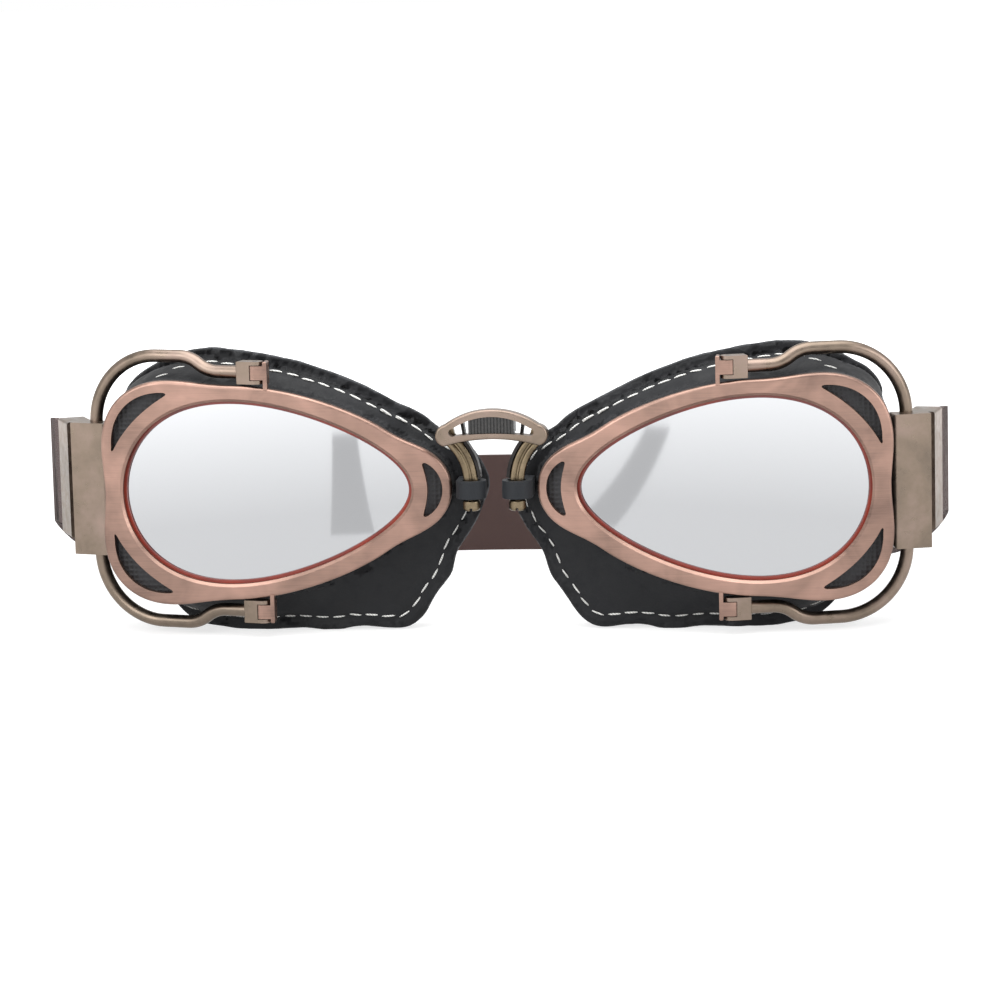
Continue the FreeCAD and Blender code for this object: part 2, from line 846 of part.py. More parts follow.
def arm_path(offset=0.0, foot=arm_foot):
    """Middle line of an arm, or a line beside it, nearer the nose by offset."""
    turn = math.radians(arm_turn)
    cx = arm_x + arm_bend
    r = arm_bend + offset

    def at(angle):
        return V(cx - r * math.cos(angle), arm_y, arm_knee + r * math.sin(angle))

    return [
        Part.LineSegment(V(cx - r, arm_y, foot), at(0)).toShape(),
        Part.Arc(at(0), at(turn / 2), at(turn)).toShape(),
    ], at(turn)


def arm():
    """Twin rods joined by a web, with an eye behind the yoke for the pivot."""
    body = None
    turn = math.radians(arm_turn)
    along = V(math.sin(turn), 0, math.cos(turn))
    for side in (-1, 1):
        edges, end = arm_path(side * rod_pitch / 2)
        tip = end + along * 1.6
        edges.append(Part.LineSegment(end, tip).toShape())
        piece = tube(Part.Wire(edges), rod / 2)
        body = piece if body is None else body.fuse(piece)
    edges, end = arm_path(0.0)
    edges.append(Part.LineSegment(end, end + along * 1.6).toShape())
    start = edges[0].valueAt(edges[0].FirstParameter)
    half_w = rod_pitch / 2
    half_d = web / 2
    corners = [(-half_w, -half_d), (half_w, -half_d), (half_w, half_d), (-half_w, half_d)]
    points = [start + V(a, b, 0) for a, b in corners]
    body = body.fuse(swept(Part.Wire(edges), Part.makePolygon(points + points[:1])))
    eye_front = arm_y - rod / 2
    eye = Part.makeCylinder(eye_radius, rod, V(pivot_x, eye_front, pivot_z), V(0, 1, 0))
    body = body.fuse(eye)
    body = body.cut(Part.makeCylinder(pivot_pin + pivot_play, 9, V(pivot_x, 0, pivot_z), V(0, 1, 0)))
    body.translate(V(0, 0, cup_z))
    return body


def arm_leaf():
    """Dark leaf on the inner side of an arm; its tail shows in the yoke's window."""
    offset = rod_pitch / 2 + rod / 2 + leaf_thick / 2
    turn = math.radians(37.0)
    cx = arm_x + arm_bend
    r = arm_bend + offset
    begin = math.asin((loop_height / 2 + 0.6 - arm_knee) / r)
    y0 = arm_y - rod / 2
    inner = r - leaf_thick / 2
    outer = r + leaf_thick / 2

    def at(radius, angle):
        return V(cx - radius * math.cos(angle), y0, arm_knee + radius * math.sin(angle))

    middle = (begin + turn) / 2
    top_x = at(r, turn).x + 0.75
    a = at(outer, turn)
    b = at(inner, turn)
    edges = [
        Part.Arc(at(outer, begin), at(outer, middle), a),
        Part.LineSegment(a, V(top_x - leaf_thick / 2, y0, leaf_top)),
        Part.LineSegment(V(top_x - leaf_thick / 2, y0, leaf_top), V(top_x + leaf_thick / 2, y0, leaf_top)),
        Part.LineSegment(V(top_x + leaf_thick / 2, y0, leaf_top), b),
        Part.Arc(b, at(inner, middle), at(inner, begin)),
        Part.LineSegment(at(inner, begin), at(outer, begin)),
    ]
    body = Part.Face(Part.Wire([e.toShape() for e in edges])).extrude(V(0, leaf_depth, 0))
    body.translate(V(0, 0, cup_z))
    return body


def arm_cap():
    """Small rounded bead that keeps the leather loop on the arm."""
    top = arm_foot
    body = Part.makeCylinder(cap_radius, cap_height, V(arm_x, arm_y, top - cap_height))
    body = body.makeFillet(0.6, body.Edges)
    notch = Part.makeBox(0.6, 6, 0.8, V(arm_x - 0.3, arm_y - 3, top - cap_height - 0.1))
    body = body.cut(notch)
    body.translate(V(0, 0, cup_z))
    return body


def arm_pin():
    """Headed pivot pin of an arm, fixed in the yoke."""
    base = V(pivot_x, yoke_back - pin_grip, cup_z + pivot_z)
    back = arm_y + rod / 2 + running
    shank = Part.makeCylinder(pivot_pin, back - base.y, base, V(0, 1, 0))
    head = Part.makeCylinder(1.5, 0.8, V(pivot_x, back, cup_z + pivot_z), V(0, 1, 0))
    head = head.makeFillet(0.3, [e for e in head.Edges if e.BoundBox.YMin > back + 0.7])
    return shank.fuse(head)


def leather_loop(skirt):
    """Leather sleeve round an arm, with the tab that ties it to the mask."""
    inner = rod_pitch / 2 + rod / 2 + loop_play
    outer = inner + loop_wall
    base = V(arm_x, arm_y, cup_z - loop_height / 2)
    body = Part.makeCylinder(outer, loop_height, base)
    tab = Part.makeBox(outer - 0.3, hem_y(-half_u) - arm_y, loop_height, base + V(0.3, 0, 0))
    body = body.fuse(tab)
    body = body.cut(Part.makeCylinder(inner, loop_height + 2, base - V(0, 0, 1)))
    body = body.cut(skirt)
    return max(body.Solids, key=lambda s: s.Volume)


def footprint_middle():
    """The middle of the whole, which becomes the origin."""
    edges = []
    for lead, shift in ((right_lead, -back_shift), (left_lead, back_shift)):
        _, _, _, centre, side_radius, _, _ = back_arcs(lead, shift)
        edges.append(centre.x + side_radius + strap_thick / 2)
    return V((edges[0] - edges[1]) / 2, (yoke_front + strap_back + strap_thick / 2) / 2, 0)


def unchanged(shape):
    return shape


def mirrored(shape):
    return shape.mirror(V(0, 0, 0), V(1, 0, 0))


def other_way_up(shape):
    return shape.mirror(V(0, 0, 0), V(0, 0, 1))


def build():
    nodes = {}
    cup = {
        "front_frame": seat(front_frame()),
        "lens": seat(lens()),
        "lens_seal": seat(lens_seal()),
        "back_frame": seat(back_frame()),
        "vent_mesh": seat(vent_mesh()),
        "frame_screws": seat(frame_screws()),
        "leather_skirt": seat(leather_skirt()),
        "face_pad": seat(face_pad()),
        "hinge_pins": seat(hinge_pins()),
        "bail": seat(bail()),
        "strap_bracket": seat(strap_bracket()),
        "arm": arm(),
        "arm_leaf": arm_leaf(),
        "arm_cap": arm_cap(),
        "arm_pin": arm_pin(),
    }
    cup["leather_loop"] = leather_loop(cup["leather_skirt"])
    for name, shape in cup.items():
        nodes["right_" + name] = shape
        nodes["left_" + name] = mirrored(shape)
    sides = (("right", right_lead, -back_shift, unchanged), ("left", left_lead, back_shift, mirrored))
    for side, lead, shift, place in sides:
        nodes[side + "_strap_loop"] = place(strap_loop(lead))
        nodes[side + "_strap_side"] = place(strap_side(lead, shift))
        nodes[side + "_strap_slide"] = place(strap_slide(lead))
    nodes["strap_rear"] = strap_rear()
    nodes["bridge_yoke"] = bridge_yoke()
    nodes["bridge_bumper"] = bridge_bumper()
    middle = footprint_middle()
    for shape in nodes.values():
        shape.translate(-middle)
    return nodes


os.makedirs("parts", exist_ok=True)
for name, shape in sorted(build().items()):
    box = shape.BoundBox
    print(
        f"{name}: valid {shape.isValid()} solids {len(shape.Solids)} volume {shape.Volume:.1f} "
        f"x {box.XMin:.2f} {box.XMax:.2f} y {box.YMin:.2f} {box.YMax:.2f} z {box.ZMin:.2f} {box.ZMax:.2f}"
    )
    shape.exportStep(f"parts/{name}.step")
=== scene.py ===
"""Looks of the aviator flying goggles: finishes for the metal frame, and the leather, cushions,
thread and webbing as pieces of their own.

Metres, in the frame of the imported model: X to the right in the front view, Y back towards the
face, Z up from the surface that the goggles stand on.
"""
import math

import bpy
from mathutils import Matrix, Vector, noise
from mathutils.bvhtree import BVHTree


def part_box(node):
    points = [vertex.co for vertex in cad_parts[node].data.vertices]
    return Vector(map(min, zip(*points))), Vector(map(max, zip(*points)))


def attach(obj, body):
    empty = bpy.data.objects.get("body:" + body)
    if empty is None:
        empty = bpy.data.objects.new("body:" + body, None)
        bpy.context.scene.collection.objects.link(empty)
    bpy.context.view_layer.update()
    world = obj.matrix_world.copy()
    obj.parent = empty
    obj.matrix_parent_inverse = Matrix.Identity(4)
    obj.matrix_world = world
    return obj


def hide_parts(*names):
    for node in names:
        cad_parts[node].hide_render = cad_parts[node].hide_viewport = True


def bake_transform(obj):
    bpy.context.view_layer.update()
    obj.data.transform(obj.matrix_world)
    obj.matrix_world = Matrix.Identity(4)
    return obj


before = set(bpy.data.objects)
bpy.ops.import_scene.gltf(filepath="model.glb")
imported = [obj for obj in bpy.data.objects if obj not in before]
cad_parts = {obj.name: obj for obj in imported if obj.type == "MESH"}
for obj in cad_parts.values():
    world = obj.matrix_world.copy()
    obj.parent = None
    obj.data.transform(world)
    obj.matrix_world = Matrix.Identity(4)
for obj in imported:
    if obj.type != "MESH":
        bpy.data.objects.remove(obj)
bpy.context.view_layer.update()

MM = 0.001
SIDES = ("left", "right")

# Places taken from the frame
bezel_box = {side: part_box(side + "_front_frame") for side in SIDES}
lens_box = {side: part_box(side + "_lens") for side in SIDES}
lens_centre = {side: (lens_box[side][0] + lens_box[side][1]) / 2 for side in SIDES}
middle_x = (lens_centre["left"].x + lens_centre["right"].x) / 2
front_y = bezel_box["right"][0].y

# Camera, from a fit of the photograph
camera_distance = 840.4 * MM
camera_yaw = 6.07
camera_pitch = 8.72
camera_roll = -1.44
camera_offset_x = 1.6 * MM
camera_aim_z = 30.7 * MM
camera_near = 10 * MM
sensor = 36.0
focal = 137.84

# Studio: the floor turns white away from the goggles, and the room looks brighter than it lights
floor_size = 12.0
floor_glow = 0.72
floor_fade_start = 0.24
floor_fade_end = 0.55
card_span = (Vector((-40.0 * MM, -330.0 * MM)), Vector((-16.0 * MM, -135.0 * MM)))
card_lift = 0.5 * MM
card_tone = 1.1
room_light = 0.55
room_seen = 1.0

# Lamps, measured from the floor under the bezels' front: name, place, aim, size and power
lamps = (
    ("top_soft_box", (0.0, -0.10, 0.75), (0.0, 0.03, 0.03), 0.9, 9.0),
    ("front_soft_box", (-0.55, -0.75, 0.45), (0.0, 0.0, 0.03), 0.6, 5.0),
    ("side_soft_box", (0.8, -0.35, 0.35), (0.0, 0.0, 0.03), 0.5, 3.0),
)

# Metal surfaces, in cells per metre along X, Y and Z. The brow's lines are 0.24 mm apart
brow_brush = (110.0, 500.0, 4200.0)
wire_grain = (600.0, 600.0, 600.0)
cast_grain = (500.0, 500.0, 900.0)
steel_grain = (900.0, 900.0, 900.0)

# Mask leather
merge_gap = 0.005 * MM
skin_grain = 0.45 * MM
leather_voxel = 0.62 * MM
outline_steps = 360
outline_span = 2
seam_inset = 3.0 * MM
flat_inside = 9 * MM
flat_fade = 4 * MM

# Relief of the mask leather: depths and widths in millimetres, scales in cells per metre
groove_depth = 0.22
groove_width = 0.55
swell_height = 0.16
swell_width = 1.1
swell_inside = 1.6
fold_waves = ((260.0, 0.16), (90.0, 0.22))
crease_scale = 430.0
crease_depth = 0.09
fray_width = 0.35
fray_turn = 1.6

# Stitches. The lifts of a knot's threads are in millimetres, their turns in radians
stitch_length = 3.0 * MM
stitch_pitch = 3.75 * MM
stitch_taper = 2.6
stitch_wide = 1.1
stitch_flat = 0.8
stitch_arch = 0.12 * MM
stitch_sink = 0.04 * MM
stitch_wander = 0.12
thread = 0.42 * MM
ray_start = 10 * MM
knot_place = 27 * MM
knot_half = 3.5 * MM
knot_threads = ((0.12, 0.16), (-0.1, 0.3))

# Cushions and sleeves
pad_voxel = 1.3 * MM
pad_pressure = 4.0
pad_frames = 20
pad_glued = -0.75
pad_swell = 0.7 * MM
pad_lump = 0.2 * MM
pad_lump_scale = 180.0
sleeve_voxel = 0.16 * MM
sleeve_grain = 0.06 * MM
sleeve_grain_scale = 500.0

# Webbing: its weave, where each side is cut across its depth, and how its edge is read
rib_pitch = 1.1 * MM
pick_pitch = 0.8 * MM
strap_shares = (0.0, 0.4, 0.7, 1.0)
bend_rows = 10
edge_steps = 40
edge_window = 1.5 * MM
web_edge_angle = 35

# Vent gauze, from one hole to the next
vent_pitch = 1.1 * MM


def deselect():
    bpy.ops.object.select_all(action="DESELECT")
    bpy.context.view_layer.objects.active = None


def pick(obj):
    """Make one object the only selected and active one."""
    deselect()
    obj.select_set(True)
    bpy.context.view_layer.objects.active = obj


def edit(obj, operator, **settings):
    """Run one mesh operator on the whole of an object."""
    pick(obj)
    bpy.ops.object.mode_set(mode="EDIT")
    bpy.ops.mesh.select_all(action="SELECT")
    operator(**settings)
    bpy.ops.object.mode_set(mode="OBJECT")


def linear(code):
    """An sRGB hex colour as linear red, green, blue and alpha."""
    values = []
    for i in (1, 3, 5):
        c = int(code[i : i + 2], 16) / 255
        values.append(c / 12.92 if c <= 0.04045 else ((c + 0.055) / 1.055) ** 2.4)
    return (*values, 1.0)


def add(tree, kind, inputs=None, stops=(), **settings):
    """One node with its settings and colour stops; an input is a value, or the socket that feeds it."""
    made = tree.nodes.new("ShaderNode" + kind)
    for key, value in settings.items():
        setattr(made, key, value)
    for key, value in (inputs or {}).items():
        if isinstance(value, bpy.types.NodeSocket):
            tree.links.new(value, made.inputs[key])
        else:
            made.inputs[key].default_value = value
    for i, (place, code) in enumerate(stops):
        points = made.color_ramp.elements
        point = points[i] if i < 2 else points.new(place)
        point.position = place
        point.color = linear(code)
    return made


def new_material(name):
    material = bpy.data.materials.new(name)
    material.use_nodes = True
    tree = material.node_tree
    tree.nodes.clear()
    return material, tree


def object_place(tree, scale=(1.0, 1.0, 1.0)):
    place = add(tree, "TexCoord").outputs["Object"]
    return add(tree, "Mapping", {"Vector": place, "Scale": scale}).outputs["Vector"]


def brushed_plate(name, tones, roughness, brush=brow_brush, cloud=75.0, brush_bump=0.35):
    """Brushed and lacquered plate: fine lines one way, and slow drifts between its tones."""
    material, tree = new_material(name)
    streaks = {"Vector": object_place(tree, brush), "Scale": 1.0, "Detail": 3.0, "Roughness": 0.6}
    lines = add(tree, "TexNoise", streaks).outputs["Fac"]
    patches = {
        "Vector": object_place(tree),
        "Scale": cloud,
        "Detail": 3.0,
        "Roughness": 0.55,
        "Distortion": 0.6,
    }
    drift = add(tree, "TexNoise", patches).outputs["Fac"]
    both = add(tree, "Mix", {"Factor": 0.25, "A": drift, "B": lines}, data_type="FLOAT").outputs[0]
    spread = {
        "Value": lines,
        "From Min": 0.3,
        "From Max": 0.7,
        "To Min": roughness - 0.07,
        "To Max": roughness + 0.1,
    }
    bump = add(tree, "Bump", {"Height": lines, "Strength": brush_bump, "Distance": 0.03 * MM})
    surface = {
        "Base Color": add(tree, "ValToRGB", {"Fac": both}, tones).outputs["Color"],
        "Metallic": 1.0,
        "Roughness": add(tree, "MapRange", spread).outputs["Result"],
        "Normal": bump.outputs["Normal"],
        "Anisotropic": 0.4,
    }
    shader = add(tree, "BsdfPrincipled", surface)
    add(tree, "OutputMaterial", {"Surface": shader.outputs[0]})
    return material


def antique_copper():
    # Copper plate, brushed along the brow and darkened: salmon where it is rubbed, tan elsewhere
    tones = ((0.30, "#6F5B53"), (0.45, "#886F64"), (0.58, "#987B6F"), (0.74, "#AA887B"))
    return brushed_plate("antique_copper_brushed", tones, 0.36)


def antique_bronze(name="antique_bronze_wire"):
    # Bronze-plated wire with a satin lacquer: khaki tan with a rosy cast where it is rubbed
    tones = ((0.3, "#61584F"), (0.48, "#786B5F"), (0.62, "#86766C"), (0.8, "#978278"))
    return brushed_plate(name, tones, 0.33, wire_grain, cloud=60.0, brush_bump=0.12)


def dark_bronze():
    # Olive bronze of the small cast pieces of the nose bridge
    tones = ((0.3, "#4E4438"), (0.5, "#6D614E"), (0.68, "#80715D"), (0.85, "#907562"))
    return brushed_plate("dark_bronze_cast", tones, 0.3, cast_grain, cloud=160.0, brush_bump=0.2)


def blackened_steel():
    # Oxidised steel of pins, leaves and screws: nearly black, with a low sheen
    tones = ((0.3, "#1E1D1D"), (0.6, "#343231"), (0.9, "#4A4745"))
    return brushed_plate("blackened_steel", tones, 0.42, steel_grain, cloud=200.0, brush_bump=0.2)


def silver_mirror():
    # Polycarbonate with a silver mirror coating: it shows the pale room
    material, tree = new_material("silver_mirror_coating")
    drift = add(tree, "TexNoise", {"Vector": object_place(tree), "Scale": 18.0, "Detail": 1.0})
    rough = add(tree, "MapRange", {"Value": drift.outputs["Fac"], "To Min": 0.03, "To Max": 0.06})
    surface = {
        "Base Color": linear("#ADAEB0"),
        "Metallic": 1.0,
        "Roughness": rough.outputs["Result"],
    }
    shader = add(tree, "BsdfPrincipled", surface)
    add(tree, "OutputMaterial", {"Surface": shader.outputs[0]})
    return material


def seal_rubber():
    # Translucent red silicone gasket, dark where it is thick
    material, tree = new_material("red_silicone_gasket")
    drift = add(tree, "TexNoise", {"Vector": object_place(tree), "Scale": 90.0, "Detail": 2.0})
    tones = ((0.3, "#5A130A"), (0.7, "#8E2A12"))
    colour = add(tree, "ValToRGB", {"Fac": drift.outputs["Fac"]}, tones).outputs["Color"]
    surface = {"Base Color": colour, "Roughness": 0.38, "Coat Weight": 0.3}
    shader = add(tree, "BsdfPrincipled", surface)
    add(tree, "OutputMaterial", {"Surface": shader.outputs[0]})
    return material


def dark_lacquer():
    # Lacquered steel of the rear rims, slightly orange-peeled
    material, tree = new_material("black_lacquer")
    dents = {"Vector": object_place(tree), "Scale": 900.0, "Detail": 2.0}
    peel = add(tree, "TexNoise", dents).outputs["Fac"]
    colour = add(tree, "ValToRGB", {"Fac": peel}, ((0.3, "#161514"), (0.7, "#211F1D")))
    bump = add(tree, "Bump", {"Height": peel, "Strength": 0.25, "Distance": 0.05 * MM})
    surface = {
        "Base Color": colour.outputs["Color"],
        "Roughness": 0.4,
        "Normal": bump.outputs["Normal"],
    }
    shader = add(tree, "BsdfPrincipled", surface)
    add(tree, "OutputMaterial", {"Surface": shader.outputs[0]})
    return material


def vent_gauze():
    # Punched black gauze: rows of round holes as bumps, with painted shade: each hole's middle is
    # painted near-black
    material, tree = new_material("black_vent_gauze")
    spots = {"Vector": object_place(tree), "Scale": 1 / vent_pitch, "Randomness": 0.12}
    holes = add(tree, "TexVoronoi", spots).outputs["Distance"]
    # Painted shade: the colour darkens towards each hole's middle, standing for the shade seen through
    # the hole
    colour = add(tree, "ValToRGB", {"Fac": holes}, ((0.28, "#020203"), (0.42, "#17171B")))
    bump = add(tree, "Bump", {"Height": holes, "Strength": 0.8, "Distance": 0.3 * MM})
    surface = {
        "Base Color": colour.outputs["Color"],
        "Roughness": 0.6,
        "Normal": bump.outputs["Normal"],
    }
    shader = add(tree, "BsdfPrincipled", surface)
    add(tree, "OutputMaterial", {"Surface": shader.outputs[0]})
    return material


def leather(name, dark="#0F1012", pale="#1A1B1E", raw=False):
    """Black goat leather: small pebbles, soft creases, and a pale fibrous cut edge."""
    material, tree = new_material(name)
    place = object_place(tree)
    grain = {"Vector": place, "Scale": 1 / skin_grain, "Randomness": 0.9}
    pebbles = add(tree, "TexVoronoi", grain, feature="SMOOTH_F1").outputs["Distance"]
    wrinkles = {
        "Vector": place,
        "Scale": 260.0,
        "Detail": 4.0,
        "Roughness": 0.6,
        "Distortion": 0.8,
    }
    creases = add(tree, "TexNoise", wrinkles).outputs["Fac"]
    cloud = add(tree, "TexNoise", {"Vector": place, "Scale": 45.0, "Detail": 2.0}).outputs["Fac"]
    tone = add(tree, "Mix", {"Factor": 0.4, "A": cloud, "B": creases}, data_type="FLOAT").outputs[0]
    colour = add(tree, "ValToRGB", {"Fac": tone}, ((0.32, dark), (0.68, pale))).outputs["Color"]
    if raw:
        edge = add(tree, "Attribute", attribute_name="raw_edge").outputs["Fac"]
        fibre = add(tree, "ValToRGB", {"Fac": creases}, ((0.3, "#34363A"), (0.7, "#5A5C60")))
        both = {"Factor": edge, "A": colour, "B": fibre.outputs["Color"]}
        colour = add(tree, "Mix", both, data_type="RGBA").outputs["Result"]
    relief = {"Factor": 0.45, "A": pebbles, "B": creases}
    height = add(tree, "Mix", relief, data_type="FLOAT").outputs[0]
    bump = add(tree, "Bump", {"Height": height, "Strength": 0.5, "Distance": 0.12 * MM})
    spread = {"Value": creases, "From Min": 0.3, "From Max": 0.7, "To Min": 0.5, "To Max": 0.7}
    surface = {
        "Base Color": colour,
        "Roughness": add(tree, "MapRange", spread).outputs["Result"],
        "Normal": bump.outputs["Normal"],
        "Sheen Weight": 0.03,
        "Sheen Roughness": 0.5,
        "Specular IOR Level": 0.25,
    }
    shader = add(tree, "BsdfPrincipled", surface)
    add(tree, "OutputMaterial", {"Surface": shader.outputs[0]})
    return material


def cotton_thread():
    # White bonded thread of two twisted strands
    material, tree = new_material("white_bonded_thread")
    strands = {"Vector": object_place(tree), "Scale": 900.0, "Distortion": 1.5}
    twist = add(tree, "TexWave", strands, bands_direction="DIAGONAL").outputs["Fac"]
    colour = add(tree, "ValToRGB", {"Fac": twist}, ((0.1, "#B9B9B4"), (0.6, "#EDEDEA")))
    bump = add(tree, "Bump", {"Height": twist, "Strength": 0.4, "Distance": 0.08 * MM})
    surface = {
        "Base Color": colour.outputs["Color"],
        "Roughness": 0.65,
        "Normal": bump.outputs["Normal"],
    }
    shader = add(tree, "BsdfPrincipled", surface)
    add(tree, "OutputMaterial", {"Surface": shader.outputs[0]})
    return material


def plush():
    # Short black plush on the cushions, with a soft bloom
    material, tree = new_material("black_plush")
    fibres = {"Vector": object_place(tree), "Scale": 2600.0, "Detail": 3.0}
    nap = add(tree, "TexNoise", fibres).outputs["Fac"]
    colour = add(tree, "ValToRGB", {"Fac": nap}, ((0.3, "#121316"), (0.7, "#26282C")))
    bump = add(tree, "Bump", {"Height": nap, "Strength": 0.6, "Distance": 0.15 * MM})
    surface = {
        "Base Color": colour.outputs["Color"],
        "Roughness": 0.9,
        "Normal": bump.outputs["Normal"],
        "Sheen Weight": 0.5,
        "Sheen Roughness": 0.4,
    }
    shader = add(tree, "BsdfPrincipled", surface)
    add(tree, "OutputMaterial", {"Surface": shader.outputs[0]})
    return material


def elastic_webbing():
    # Brown ribbed elastic: ribs along its length and rows of picks across them
    material, tree = new_material("brown_ribbed_elastic")
    uv = add(tree, "UVMap", uv_map="weave").outputs["UV"]
    rows = {"Vector": uv, "Scale": MM / rib_pitch * 10 / 2, "Distortion": 0.6, "Detail": 1.0}
    ribs = add(tree, "TexWave", rows, bands_direction="Y").outputs["Fac"]
    rows = {"Vector": uv, "Scale": MM / pick_pitch * 10 / 2, "Distortion": 1.2, "Detail": 1.0}
    picks = add(tree, "TexWave", rows, bands_direction="X").outputs["Fac"]
    fuzz = add(tree, "TexNoise", {"Vector": uv, "Scale": 3.0, "Detail": 4.0}).outputs["Fac"]
    weave = add(tree, "Math", {0: ribs, 1: picks}, operation="MULTIPLY").outputs[0]
    tone = add(tree, "Mix", {"Factor": 0.35, "A": weave, "B": fuzz}, data_type="FLOAT").outputs[0]
    tones = ((0.1, "#321C18"), (0.4, "#4E2E27"), (0.8, "#694036"))
    bump = add(tree, "Bump", {"Height": weave, "Strength": 0.7, "Distance": 0.25 * MM})
    surface = {
        "Base Color": add(tree, "ValToRGB", {"Fac": tone}, tones).outputs["Color"],
        "Roughness": 0.85,
        "Normal": bump.outputs["Normal"],
        "Sheen Weight": 0.25,
    }
    shader = add(tree, "BsdfPrincipled", surface)
    add(tree, "OutputMaterial", {"Surface": shader.outputs[0]})
    return material


def moulded_rubber():
    # Matt black moulded rubber, a little dusty on its ribs
    material, tree = new_material("black_moulded_rubber")
    specks = {"Vector": object_place(tree), "Scale": 1500.0, "Detail": 3.0}
    dust = add(tree, "TexNoise", specks).outputs["Fac"]
    colour = add(tree, "ValToRGB", {"Fac": dust}, ((0.35, "#0E0D0D"), (0.75, "#2C2927")))
    rough = add(tree, "MapRange", {"Value": dust, "To Min": 0.35, "To Max": 0.6})
    surface = {
        "Base Color": colour.outputs["Color"],
        "Roughness": rough.outputs["Result"],
        "Coat Weight": 0.2,
    }
    shader = add(tree, "BsdfPrincipled", surface)
    add(tree, "OutputMaterial", {"Surface": shader.outputs[0]})
    return material


def paint_frame():
    """Give every rigid CAD node its finish."""
    copper = antique_copper()
    bronze = antique_bronze()
    cast = dark_bronze()
    steel = blackened_steel()
    finishes = {
        "front_frame": copper,
        "lens": silver_mirror(),
        "lens_seal": seal_rubber(),
        "back_frame": dark_lacquer(),
        "vent_mesh": vent_gauze(),
        "frame_screws": steel,
        "hinge_pins": steel,
        "bail": bronze,
        "strap_bracket": bronze,
        "strap_slide": bronze,
        "arm": cast,
        "arm_cap": cast,
        "arm_leaf": steel,
        "arm_pin": steel,
    }
    for name, finish in finishes.items():
        for side in SIDES:
            set_finish(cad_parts[f"{side}_{name}"], finish)
    set_finish(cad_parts["bridge_yoke"], antique_bronze("bronze_yoke"))
    set_finish(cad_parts["bridge_bumper"], moulded_rubber())


def set_finish(obj, material):
    obj.data.materials.clear()
    obj.data.materials.append(material)


def copy_of(node, name):
    """A merged copy of a CAD node's mesh, to be worked on as a new piece."""
    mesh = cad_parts[node].data.copy()
    mesh.name = name
    mesh.materials.clear()
    obj = bpy.data.objects.new(name, mesh)
    bpy.context.scene.collection.objects.link(obj)
    edit(obj, bpy.ops.mesh.remove_doubles, threshold=merge_gap)
    edit(obj, bpy.ops.mesh.normals_make_consistent, inside=False)
    return obj


def voxels(obj, size):
    pick(obj)
    obj.data.remesh_voxel_size = size
    obj.data.remesh_voxel_adaptivity = 0.0
    bpy.ops.object.voxel_remesh()


def smooth(obj, angle=None):
    pick(obj)
    if angle is None:
        bpy.ops.object.shade_smooth()
    else:
        bpy.ops.object.shade_smooth_by_angle(angle=math.radians(angle))


def apply_modifier(obj, kind, name, **settings):
    pick(obj)
    modifier = obj.modifiers.new(name, kind)
    for key, value in settings.items():
        setattr(modifier, key, value)
    bpy.ops.object.modifier_apply(modifier=name)


def roughen(obj, scale, height):
    """Move a surface in and out along its normals by a smooth noise."""
    # Normals are read first: Blender works them all out again after a point has moved
    normals = [v.normal.copy() for v in obj.data.vertices]
    for v, normal in zip(obj.data.vertices, normals):
        v.co += normal * noise.noise(v.co * scale) * height


def bearing(dx, dz):
    """Which step of an outline lies in a direction."""
    return int(round(math.atan2(dz, dx) / math.tau * outline_steps)) % outline_steps


def silhouette(obj, centre, inset=0.0):
    """The outline of a piece in the front view, as X and Z pairs, moved in by an inset."""
    steps = outline_steps
    reach = [0.0] * steps
    for v in obj.data.vertices:
        dx = v.co.x - centre.x
        dz = v.co.z - centre.z
        k = bearing(dx, dz)
        reach[k] = max(reach[k], math.hypot(dx, dz))
    for k in range(steps):
        if reach[k] == 0.0:
            reach[k] = max(reach[k - 1], reach[(k + 1) % steps])
    window = range(-outline_span, outline_span + 1)
    soft = [sum(reach[(k + j) % steps] for j in window) / len(window) for k in range(steps)]
    points = []
    for k, r in enumerate(soft):
        turn = math.tau * k / steps
        points.append(Vector((centre.x + r * math.cos(turn), centre.z + r * math.sin(turn))))
    moved = []
    for k in range(steps):
        along = (points[(k + outline_span) % steps] - points[k - outline_span]).normalized()
        moved.append(points[k] + Vector((-along.y, along.x)) * inset)
    return moved


def resample(points, pitch):
    """A closed line in even steps near the pitch."""
    lengths = [0.0]
    loop = points + points[:1]
    for a, b in zip(loop, loop[1:]):
        lengths.append(lengths[-1] + (b - a).length)
    count = round(lengths[-1] / pitch)
    result = []
    k = 0
    for i in range(count):
        want = lengths[-1] * i / count
        while lengths[k + 1] < want:
            k += 1
        share = (want - lengths[k]) / max(lengths[k + 1] - lengths[k], 1e-9)
        result.append(loop[k].lerp(loop[k + 1], share))
    return result


